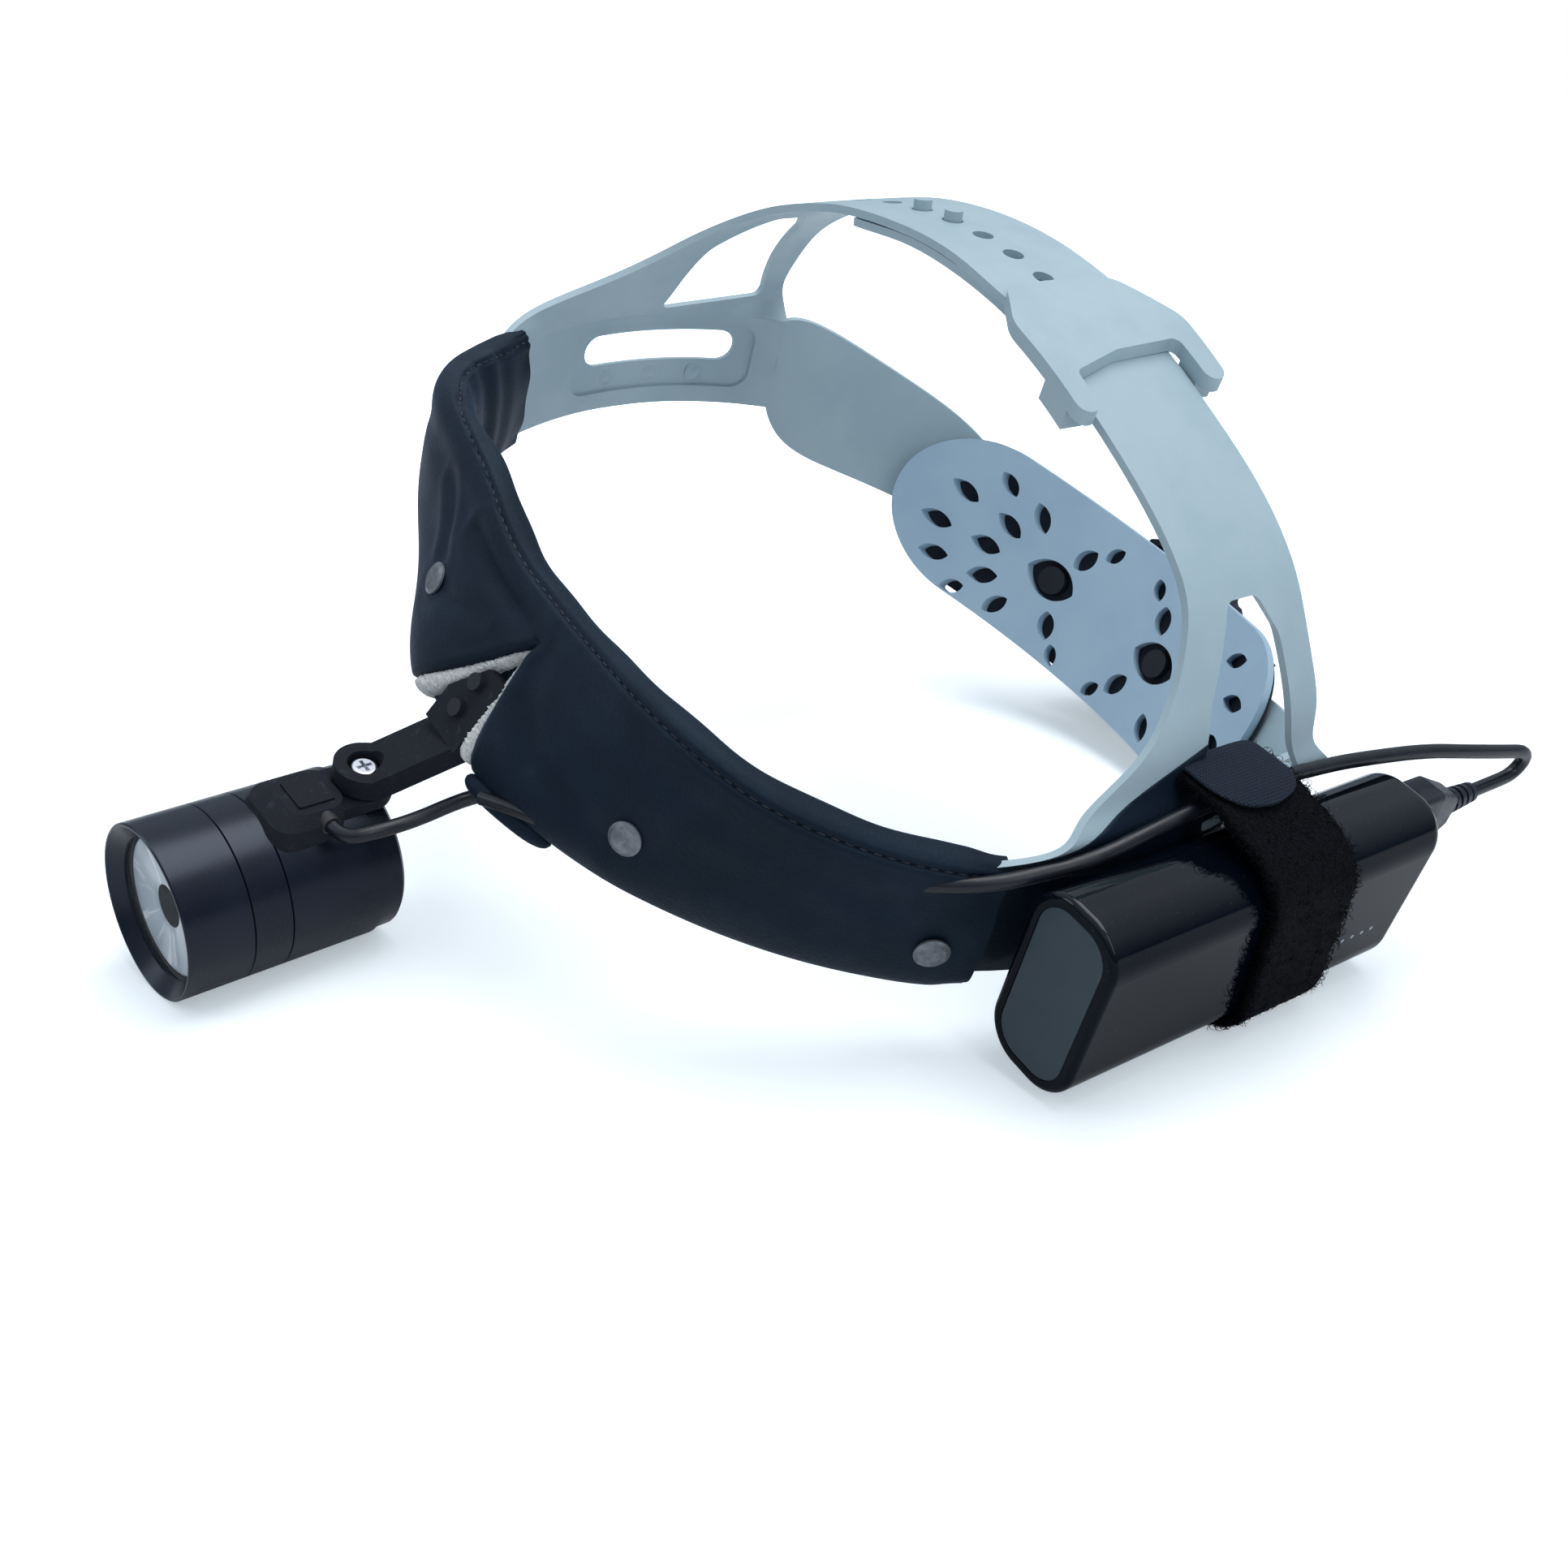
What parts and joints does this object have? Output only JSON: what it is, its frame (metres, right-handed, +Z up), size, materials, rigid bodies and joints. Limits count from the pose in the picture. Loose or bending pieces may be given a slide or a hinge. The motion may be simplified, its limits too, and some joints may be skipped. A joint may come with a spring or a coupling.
{
  "type": "head-worn work lamp",
  "caption": "Head-worn work lamp: ratchet headgear with sweatband and crown straps, swivelling spotlight at the brow, strapped-on power bank and cable.",
  "frame": {"origin": "centre of the bounding box's base, without the free cable and its plug", "axes": "+X towards the wearer's left (the power bank's side), +Y towards the nape, +Z up, as the lamp lies on a table tipped on to its left side"},
  "size_m": [0.2368, 0.3114, 0.1519],
  "materials": {
    "grey_plastic": "moulded blue-grey thermoplastic, satin, slightly mottled",
    "sweatband_skin": "black fine-pored skin, stitched along both edges",
    "sweatband_core": "white felt wadding",
    "cable_jacket": "black satin jacket",
    "steel_screw": "bright nickel-plated steel",
    "nape_plastic": "soft light-blue moulded pad, matte",
    "black_plastic": "moulded black thermoplastic, fine grain",
    "spring_steel": "spring steel",
    "anodised_black": "turned aluminium, satin black anodised",
    "window_glass": "clear flat glass",
    "seal_rubber": "black seal rubber",
    "bare_aluminium": "turned, bare",
    "board_white": "aluminium-cored board, white lacquer",
    "led_yellow": "phosphor-coated led",
    "optic_clear": "clear moulded acrylic",
    "board_green": "green circuit board",
    "brass_insert": "knurled insert",
    "bank_gloss": "high-gloss black housing",
    "led_window": "small clear light guides",
    "bank_cap": "gloss black end cap",
    "cell_wrap": "metal can in a shrink sleeve",
    "usb_metal": "bright stamped steel",
    "plug_rubber": "black moulded rubber, ribbed",
    "strap_web": "black looped webbing with hooked face",
    "tab_web": "blue-grey woven tab"
  },
  "bodies": {
    "headgear": {"headband": "grey_plastic", "sweatband_cover": "sweatband_skin", "sweatband_foam": "sweatband_core", "cable_side": "cable_jacket", "snap_caps": "steel_screw", "snap_sockets": "steel_screw", "crown_strap_right": "grey_plastic", "crown_strap_left": "grey_plastic", "rear_band_right": "grey_plastic", "rear_band_left": "grey_plastic", "lamp_arm": "black_plastic", "arm_screws": "steel_screw", "arm_nuts": "steel_screw", "bank_shell": "bank_gloss", "charge_leds": "led_window", "bank_front_cap": "bank_cap", "bank_rear_cap": "bank_cap", "battery_cells": "cell_wrap", "cell_tray": "black_plastic", "bank_board": "board_green", "usb_socket": "usb_metal", "charge_socket": "usb_metal", "button_switch": "black_plastic", "usb_plug_shell": "usb_metal", "plug_overmould": "plug_rubber", "plug_relief": "plug_rubber", "hook_loop_strap": "strap_web", "strap_tab": "tab_web", "cable_front": "cable_jacket", "cable_rear": "cable_jacket"},
    "lamp": {"lamp_bezel": "anodised_black", "lens_window": "window_glass", "window_seal": "seal_rubber", "lamp_housing": "anodised_black", "lamp_tail_cap": "anodised_black", "tail_seal": "seal_rubber", "heat_sink": "bare_aluminium", "led_board": "board_white", "led": "led_yellow", "optic_holder": "black_plastic", "optic": "optic_clear", "driver_board": "board_green", "board_spacers": "brass_insert", "lamp_bracket": "black_plastic", "swivel_insert": "brass_insert", "bracket_lid": "black_plastic", "cable_grommet": "seal_rubber", "swivel_washer": "steel_screw", "swivel_screw": "steel_screw"},
    "nape": {"nape_pad": "nape_plastic", "ratchet_housing": "black_plastic", "ratchet_cover": "black_plastic", "detent_spring": "spring_steel"},
    "knob": {"ratchet_knob": "black_plastic", "ratchet_pinion": "black_plastic", "knob_screw": "steel_screw"},
    "button": {"charge_button": "bank_cap"}
  },
  "joints": [
    {"name": "lamp_swivel", "type": "hinge", "parent": "headgear", "child": "lamp", "pos_m": [-0.02718, -0.10609, 0.03836], "axis": [0.3412, 0.0459, 0.9389], "range_deg": [-45, 45], "deforming": ["cable_front"]},
    {"name": "nape_slide", "type": "slide", "parent": "headgear", "child": "nape", "axis": [0, -0.9999, -0.0143], "range_m": [0, 0.024], "deforming": ["rear_band_right", "rear_band_left"]},
    {"name": "knob_turn", "type": "hinge", "parent": "nape", "child": "knob", "pos_m": [-0.02517, 0.11764, 0.03589], "axis": [-0.1451, 0.9147, -0.3771], "range_deg": [-230, 0]},
    {"name": "button_press", "type": "slide", "parent": "headgear", "child": "button", "axis": [0, -0.9999, -0.0143], "range_m": [0, 0.0006], "stiffness_N_per_m": 800, "springref_m": -0.0006}
  ],
  "couplings": [
    {"joint": "knob_turn", "follows": "nape_slide", "rad_per_m": -166.67}
  ]
}
